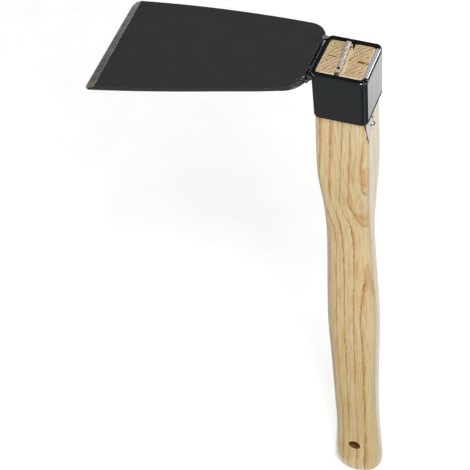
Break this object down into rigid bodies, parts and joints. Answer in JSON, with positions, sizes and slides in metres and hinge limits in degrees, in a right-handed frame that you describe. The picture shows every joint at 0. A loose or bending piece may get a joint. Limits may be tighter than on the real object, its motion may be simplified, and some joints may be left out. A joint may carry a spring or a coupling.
{
  "type": "hand hoe",
  "caption": "Short-handled garden hoe: a flaring steel blade with a ground edge, welded to a square steel eye on a wedged wooden handle with a hanging hole.",
  "frame": {"origin": "on the handle's flat butt end, under the centre of the eye", "axes": "+Z along the handle towards the head, -X out along the blade, Y along the cutting edge"},
  "size_m": [0.1769, 0.0832, 0.4001],
  "materials": {
    "handle_wood": "clear varnished ash",
    "collar_lacquer": "glossy black lacquer",
    "blade_lacquer": "glossy black lacquer with a bare ground edge",
    "weld_lacquer": "black lacquer over a rippled weld",
    "wedge_steel": "bright rolled steel"
  },
  "bodies": {
    "root": {"handle": "handle_wood", "eye_collar": "collar_lacquer", "blade": "blade_lacquer", "upper_weld": "weld_lacquer", "under_weld": "weld_lacquer", "steel_wedge": "wedge_steel"}
  },
  "joints": []
}
